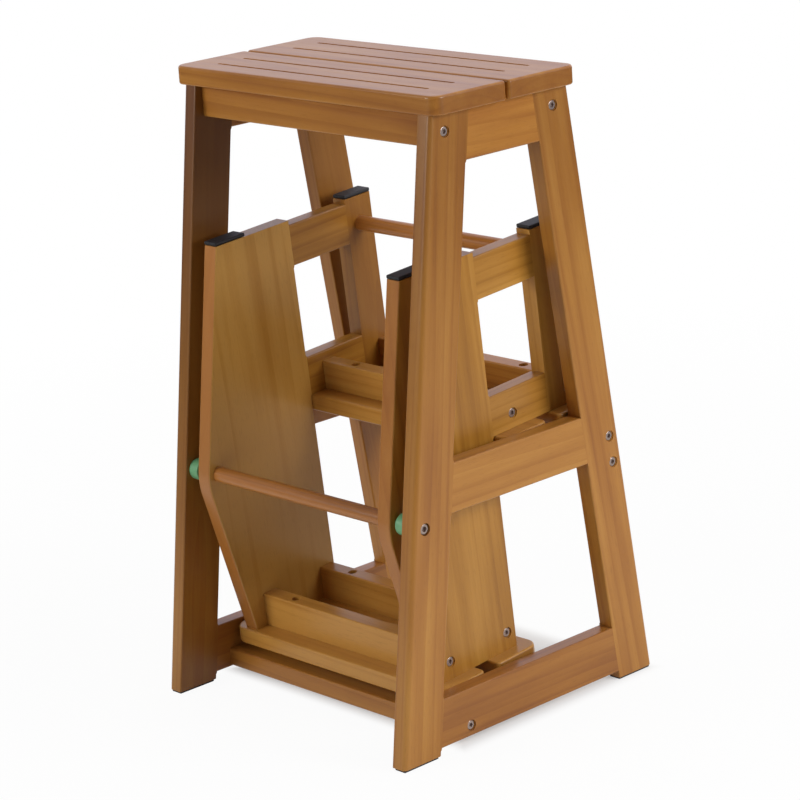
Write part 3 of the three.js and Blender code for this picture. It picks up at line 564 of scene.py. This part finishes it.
for side, hand in ((-1, "left"), (1, "right")):
    low_x, high_x = sorted((side * UNIT_IN, side * UNIT_OUT))
    wide = board("wide_side_board_" + hand, (low_x, WIDE_NEAR, HEAD), (high_x, WIDE_FAR, FOOT))
    slice_off((WIDE_HEAD, HEAD), (WIDE_NEAR, KNEE))
    slice_off((WIDE_NEAR, KNEE), (WIDE_FOOT, FOOT))
    round_edges(12, lambda x, y, z: near(y, WIDE_NEAR) and near(z, KNEE), 4, "X")
    ring_cuts((TREAD_RAIL_START, TREAD_RAIL_STOP, FOOT_RAIL_START))
    round_edges(1.8, lambda x, y, z: y < WIDE_FOOT + 0.1, 4, "YZ")
    for low, high in ((HEAD, TREAD_RAIL_START), (TREAD_RAIL_STOP, FOOT_RAIL_START)):
        round_edges(1.8, lambda x, y, z: near(y, WIDE_FAR) and low - 0.1 < z < high + 0.1, 4, "YZ")
    round_edges(0.8, lambda x, y, z: near(z, FOOT), 3, "Y")
    screw_seats(wide, side, lambda middle: middle < WIDE_FAR)
    swing(wide)
    wood = lacquered_wood("pine_wide_side_" + hand, "Z", (side * 195, -60, 200), UNIT_LEAN,
                          stops=GOLDEN_STOPS, rings=0.012, **WIDE_LOOKS[hand])
    finish_piece(wide, "step_unit", wood, "wide_board_" + hand)

    narrow = board("narrow_side_leg_" + hand, (low_x, NARROW_NEAR, NARROW_HEAD), (high_x, NARROW_FAR, FOOT))
    ring_cuts((TREAD_RAIL_STOP, FOOT_RAIL_START))
    round_edges(1.8, lambda x, y, z: near(y, NARROW_FAR) or
                TREAD_RAIL_STOP - 0.1 < z < FOOT_RAIL_START + 0.1, 4, "YZ")
    round_edges(0.8, lambda x, y, z: near(z, FOOT), 3, "Y")
    screw_seats(narrow, side, lambda middle: middle > NARROW_NEAR)
    swing(narrow)
    wood = lacquered_wood("pine_narrow_side_" + hand, "Z", (side * 170, 130, 100), UNIT_LEAN,
                          NARROW_TONES[hand], GOLDEN_STOPS)
    finish_piece(narrow, "step_unit", wood, "narrow_leg_" + hand)

    for level, low, high in SIDE_RAILS:
        rail = board("side_%s_rail_%s" % (level, hand), (low_x, SIDE_RAIL_NEAR, low),
                     (high_x, SIDE_RAIL_FAR, high))
        round_edges(1.8, lambda x, y, z: z > NARROW_HEAD + 0.5, 4, "Y")
        if level == "tread":
            screw_seats(rail, side, lambda middle: WIDE_FAR < middle < NARROW_NEAR)
        swing(rail)
        wood = lacquered_wood("pine_side_%s_rail_%s" % (level, hand), "Y", (side * 165, 0, low + 300),
                              UNIT_LEAN, -0.15, GOLDEN_STOPS)
        finish_piece(rail, "step_unit", wood, "%s_rail_%s" % (level, hand))


# Treads: each step is two pine boards with a gap, screwed from below through its cleats. Their corners are
# rounded large outside and small at the gap, and all their edges are eased.

TREAD_END, TREAD_THICKNESS = 158.5, 18
# The last number is each step's tone, partly painted light and shade. The upper step lies low behind the
# stretcher and is drawn lighter for the light that barely reaches it. The lower step is drawn darker for its
# shade.
TREADS = [("upper", -201, ((15, 76), (93, 154)), 0.65),
          ("lower", 24, ((138.1, 199.1), (216.1, 277.1)), 0.3)]

for step, under, spans, tone in TREADS:
    middle = (spans[0][1] + spans[1][0]) / 2
    for order, (low, high) in zip(("near", "far"), spans):
        outer, inner = (low, high) if high < middle else (high, low)
        top = under + TREAD_THICKNESS
        tread = board("tread_%s_%s" % (step, order), (-TREAD_END, low, under), (TREAD_END, high, top))
        round_edges(15, lambda x, y, z: near(y, outer), 8, "Z")
        round_edges(7, lambda x, y, z: near(y, inner), 5, "Z")
        round_edges(2.4, lambda x, y, z: near(z, under), 4, "XY")
        round_edges(2.4, lambda x, y, z: near(z, top), 4, "XY")
        swing(tread)
        wood = lacquered_wood("pine_tread_%s_%s" % (step, order), "X", (low, low - 150, under + 180),
                              UNIT_LEAN, tone)
        finish_piece(tread, "step_unit", wood, "%s_step_board_%s" % (step, order))


# Cleats: two pine bars on edge under each tread, screwed to it from their free edge, where the heads are
# sunk in round holes, and to the side boards from outside.

CLEAT_END, CLEAT_HALF, CLEAT_GAP = 124.7, 9, 0.3
CLEAT_SCREWS, CLEAT_HOLE, CLEAT_SUNK = (-83, 83), 5, 4
# The cleats' tones are partly painted light and shade. The upper step's cleats lie low behind the stretcher
# and are drawn lighter for the light that barely reaches them. The lower far cleat is drawn darker for its
# shade.
CLEAT_TONES_AND_PAINTED_LIGHT = {"upper_near": 0.6, "upper_far": 0.5, "lower_near": 0.4, "lower_far": -0.15}

for tread, order, middle, base, height in CLEATS:
    low, high = base + CLEAT_GAP, base + height
    cleat = board("cleat_%s_%s" % (tread, order), (-CLEAT_END, middle - CLEAT_HALF, low),
                  (CLEAT_END, middle + CLEAT_HALF, high))
    round_edges(1.8, lambda x, y, z: near(z, high), 4, "X")
    for x in CLEAT_SCREWS:
        deselect()
        bpy.ops.mesh.primitive_cylinder_add(vertices=32, radius=CLEAT_HOLE / 1000,
                                            depth=2 * CLEAT_SUNK / 1000,
                                            location=(x / 1000, middle / 1000, high / 1000))
        hole = bpy.context.object
        bpy.ops.object.transform_apply(location=True, rotation=True, scale=True)
        cut(cleat, hole)
    swing(cleat)
    wood = lacquered_wood("pine_cleat_%s_%s" % (tread, order), "X", (middle, middle - 160, base + 215),
                          UNIT_LEAN, CLEAT_TONES_AND_PAINTED_LIGHT["%s_%s" % (tread, order)])
    finish_piece(cleat, "step_unit", wood, "%s_step_cleat_%s" % (tread, order))


# Dowels: turned beech rods let into the side boards, one on the pivot line and one between the feet. The
# grain is finer than the pine's and a little redder, under the same lacquer.

DOWEL_RADIUS, DOWEL_END = 8, 131
DOWELS = [("dowel_pivot", "pivot_dowel", 0, 0), ("dowel_foot", "foot_dowel", 236, 203)]
BEECH_STOPS = [(0.1, "#8a5524"), (0.5, "#a4682e"), (0.9, "#ba7b3a")]


def rod(name, radius, end, middle=0.0, steps=48):
    """A round bar along X, in millimetres, left open in edit mode."""
    deselect()
    bpy.ops.mesh.primitive_cylinder_add(vertices=steps, radius=radius / 1000, depth=2 * end / 1000,
                                        location=(middle / 1000, 0, 0), rotation=(0, math.pi / 2, 0))
    piece = bpy.context.object
    piece.name = name
    bpy.ops.object.transform_apply(location=True, rotation=True, scale=True)
    bpy.ops.object.mode_set(mode="EDIT")
    return piece


beech = lacquered_wood("beech_dowel", "X", (0, 60, 260), UNIT_LEAN, stops=BEECH_STOPS, rings=0.003)
for name, node, y, z in DOWELS:
    dowel = rod(name, DOWEL_RADIUS, DOWEL_END)
    round_edges(0.8, lambda x, y, z: near(abs(x), DOWEL_END), 2, "YZ")
    bpy.ops.mesh.select_all(action="SELECT")
    bpy.ops.transform.translate(value=(0, y / 1000, z / 1000))
    swing(dowel)
    finish_piece(dowel, "step_unit", beech, node)


# Spacers: flanged bushes on the pivot bolts, moulded of green nylon, that keep the unit clear of the side
# frames. The flange lies against the frame and a thinner hub against the unit. Green nylon is a soft green
# with a slight waxy shine and next to no texture.

FLANGE_IN, FLANGE_OUT, HUB_LENGTH = 147.3, 160.2, 4
FLANGE_RADIUS, HUB_RADIUS, HOLE_RADIUS = 11, 6.5, 3.3


def plain_finish(name, colour, rough, grit, bump, metal=0.0, mottle=0.04):
    """A surface of one colour. Grit is the size of its relief in millimetres, drawn coarser than the real
    one so that it shows, and mottle is how far the colour varies."""
    material, tree = empty_material(name)
    place = add(tree, "ShaderNodeTexCoord")
    noise = add(tree, "ShaderNodeTexNoise", {"Vector": place.outputs["Object"], "Scale": 1000 / grit,
                                             "Detail": 3.0}).outputs["Fac"]
    tone = add(tree, "ShaderNodeMapRange", {"Value": noise, "To Min": 1 - mottle, "To Max": 1 + mottle})
    shade = add(tree, "ShaderNodeVectorMath", {0: linear(colour)[:3]}, operation="SCALE")
    tree.links.new(tone.outputs[0], shade.inputs["Scale"])
    worn = add(tree, "ShaderNodeMapRange", {"Value": noise, "To Min": rough - 0.06, "To Max": rough + 0.06})
    relief = add(tree, "ShaderNodeBump", {"Height": noise, "Strength": bump, "Distance": 0.0004})
    surface = add(tree, "ShaderNodeBsdfPrincipled", {"Base Color": shade.outputs[0], "Metallic": metal,
                                                     "Roughness": worn.outputs[0],
                                                     "Normal": relief.outputs[0]})
    add(tree, "ShaderNodeOutputMaterial", {"Surface": surface.outputs[0]})
    return material


nylon = plain_finish("green_nylon", "#69a272", 0.42, 1.2, 0.08)
for side, hand in ((-1, "left"), (1, "right")):
    collar = rod("spacer_bush_" + hand, FLANGE_RADIUS, (FLANGE_OUT - FLANGE_IN) / 2,
                 side * (FLANGE_IN + FLANGE_OUT) / 2)
    pick(lambda x, y, z: near(abs(x), FLANGE_IN), "FACE")
    bpy.ops.mesh.inset(thickness=(FLANGE_RADIUS - HUB_RADIUS) / 1000)
    bpy.ops.mesh.extrude_region_move(TRANSFORM_OT_translate={"value": (-side * HUB_LENGTH / 1000, 0, 0)})
    for face, radius in ((FLANGE_IN - HUB_LENGTH, HUB_RADIUS), (FLANGE_OUT, FLANGE_RADIUS)):
        pick(lambda x, y, z: near(abs(x), face), "FACE")
        bpy.ops.mesh.inset(thickness=(radius - HOLE_RADIUS) / 1000)
    pick(lambda x, y, z: math.hypot(y, z) < HOLE_RADIUS + 0.2, "FACE")
    bpy.ops.mesh.bridge_edge_loops()
    for face in (FLANGE_IN, FLANGE_OUT):
        round_edges(1.4, lambda x, y, z: near(abs(x), face) and math.hypot(y, z) > FLANGE_RADIUS - 1.5,
                    4, "YZ")
    bpy.ops.mesh.select_all(action="SELECT")
    bpy.ops.transform.translate(value=(0, PIVOT[0] / 1000, PIVOT[1] / 1000))
    finish_piece(collar, "stool", nylon, "pivot_spacer_" + hand)


# Foot pads and glides: strips of black rubber glued to the unit's feet, and thin dark pads under the stool's
# legs. The rubber is matt and almost black, the glides are a dull dark brown with a fibrous face.

PAD_GAP, PAD_TOP, WIDE_PAD_STOP = 0.3, 4, 78
GLIDE_IN, GLIDE_OUT, GLIDE_NEAR, GLIDE_FAR = 162.5, 176.5, 131.66, 177.66

rubber = plain_finish("black_rubber", "#08080a", 0.62, 0.8, 0.25, mottle=0.15)
felt = plain_finish("dark_glide", "#2b2724", 0.75, 0.6, 0.35, mottle=0.2)
for side, hand in ((-1, "left"), (1, "right")):
    low_x, high_x = sorted((side * UNIT_IN, side * UNIT_OUT))
    for name, low, high in (("wide", WIDE_FOOT, WIDE_PAD_STOP), ("narrow", NARROW_NEAR, NARROW_FAR)):
        pad = board("rubber_foot_%s_%s" % (name, hand), (low_x, low, FOOT + PAD_GAP),
                    (high_x, high, FOOT + PAD_TOP))
        round_edges(1.2, lambda x, y, z: z > FOOT + PAD_TOP - 0.1 or
                    (near(x, low_x) or near(x, high_x)) and (near(y, low) or near(y, high)), 3)
        swing(pad)
        finish_piece(pad, "step_unit", rubber, "%s_foot_pad_%s" % (name, hand))
    low_x, high_x = sorted((side * GLIDE_IN, side * GLIDE_OUT))
    for end, where in ((-1, "front"), (1, "rear")):
        low, high = sorted((end * GLIDE_NEAR, end * GLIDE_FAR))
        glide = board("glide_pad_%s_%s" % (where, hand), (low_x, low, 0), (high_x, high, LEG_FOOT))
        round_edges(0.8, lambda x, y, z: z < 0.1 or z > LEG_FOOT - 0.1, 2)
        finish_piece(glide, "stool", felt, "%s_glide_%s" % (where, hand))


# Screws and pivot bolts: steel with a round head and a hexagon socket, sunk a little below the wood. Each
# kind is modelled once and copied. The nickel plating is a warm satin grey that shows the room softly. The
# inserts that the bolts screw into lie hidden in the pivot dowel, and are plated too.

SEAT_SCREWS, SEAT_SUNK = (-120, 0, 120), 2

nickel = plain_finish("nickel_steel", "#a8988f", 0.36, 0.5, 0.05, metal=1.0, mottle=0.05)


def headed(name, radius, depth, length, shank, socket, socket_depth, rim):
    """A screw whose head lies at the origin and looks along X. Socket is the hexagon's size over corners,
    and rim the rounding of the head."""
    piece = rod(name, radius, depth / 2, -depth / 2, 40)
    pick(lambda x, y, z: near(x, -depth), "FACE")
    bpy.ops.mesh.inset(thickness=(radius - shank) / 1000)
    bpy.ops.mesh.extrude_region_move(TRANSFORM_OT_translate={"value": (-(length - depth) / 1000, 0, 0)})
    round_edges(rim, lambda x, y, z: near(x, 0) and near(math.hypot(y, z), radius, 0.1), 4)
    deselect()
    bpy.ops.mesh.primitive_cylinder_add(vertices=6, radius=socket / 2000, depth=2 * socket_depth / 1000,
                                        location=(0, 0, 0), rotation=(0, math.pi / 2, 0))
    hexagon = bpy.context.object
    bpy.ops.object.transform_apply(location=True, rotation=True, scale=True)
    cut(piece, hexagon)
    return piece


def place_copy(first, name, place, turn, swung=False):
    """Copies a screw to a place in millimetres, on the unit's own lines if it is swung."""
    copy = first.copy()
    copy.data = first.data.copy()
    copy.name = name
    bpy.context.scene.collection.objects.link(copy)
    deselect()
    copy.select_set(True)
    bpy.context.view_layer.objects.active = copy
    copy.rotation_euler = turn
    copy.location = [p / 1000 for p in place]
    bpy.ops.object.transform_apply(location=True, rotation=True, scale=True)
    if swung:
        swing(copy)
    return copy


head = {"radius": 4.75, "depth": 2.8, "shank": 2.01, "socket": 5.0, "socket_depth": 2, "rim": 0.7}
screw = headed("screw", length=42, **head)
short = headed("short_screw", length=30, **head)
bolt = headed("bolt", radius=5.5, depth=3.5, length=58, shank=3.01, socket=6.2, socket_depth=2.8, rim=1.0)
for side, hand in ((-1, "left"), (1, "right")):
    outwards = (0, 0, 0 if side > 0 else math.pi)
    for part, y, z in (("front_apron", *APRON_SCREWS["front"]), ("rear_apron", *APRON_SCREWS["rear"]),
                       ("cross_rail_lower", *CROSS_SCREWS[0]), ("cross_rail_upper", *CROSS_SCREWS[1]),
                       ("stretcher", *STRETCHER_SCREW)):
        piece = place_copy(screw, "screw_%s_%s" % (part, hand), (side * (FRAME_OUT - SCREW_SUNK), y, z),
                           outwards)
        finish_piece(piece, "stool", nickel, "%s_screw_%s" % (part, hand))
    piece = place_copy(bolt, "bolt_pivot_" + hand, (side * (FRAME_OUT - BOLT_SUNK), *PIVOT), outwards)
    finish_piece(piece, "step_unit", nickel, "pivot_bolt_" + hand)
    for tread, order, middle, base, height in CLEATS:
        piece = place_copy(short, "screw_side_%s_%s_%s" % (tread, order, hand),
                           (side * (UNIT_OUT - SCREW_SUNK), middle, base + height / 2), outwards, True)
        finish_piece(piece, "step_unit", nickel)
for tread, order, middle, base, height in CLEATS:
    for count, x in enumerate(CLEAT_SCREWS, 1):
        piece = place_copy(short, "screw_cleat_%s_%s_%d" % (tread, order, count),
                           (x, middle, base + height - CLEAT_SUNK), (0, -math.pi / 2, 0), True)
        finish_piece(piece, "step_unit", nickel)
for where in ("front", "rear"):
    for count, x in enumerate(SEAT_SCREWS, 1):
        piece = place_copy(short, "screw_seat_%s_%d" % (where, count),
                           (x, APRON_SCREWS[where][0], APRON_UNDER + SEAT_SUNK), (0, math.pi / 2, 0))
        finish_piece(piece, "stool", nickel)
for pattern in (screw, short, bolt):
    bpy.data.objects.remove(pattern, do_unlink=True)
for node in ("pivot_insert_left", "pivot_insert_right"):
    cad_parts[node].data.materials.clear()
    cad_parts[node].data.materials.append(nickel)

bpy.context.view_layer.update()
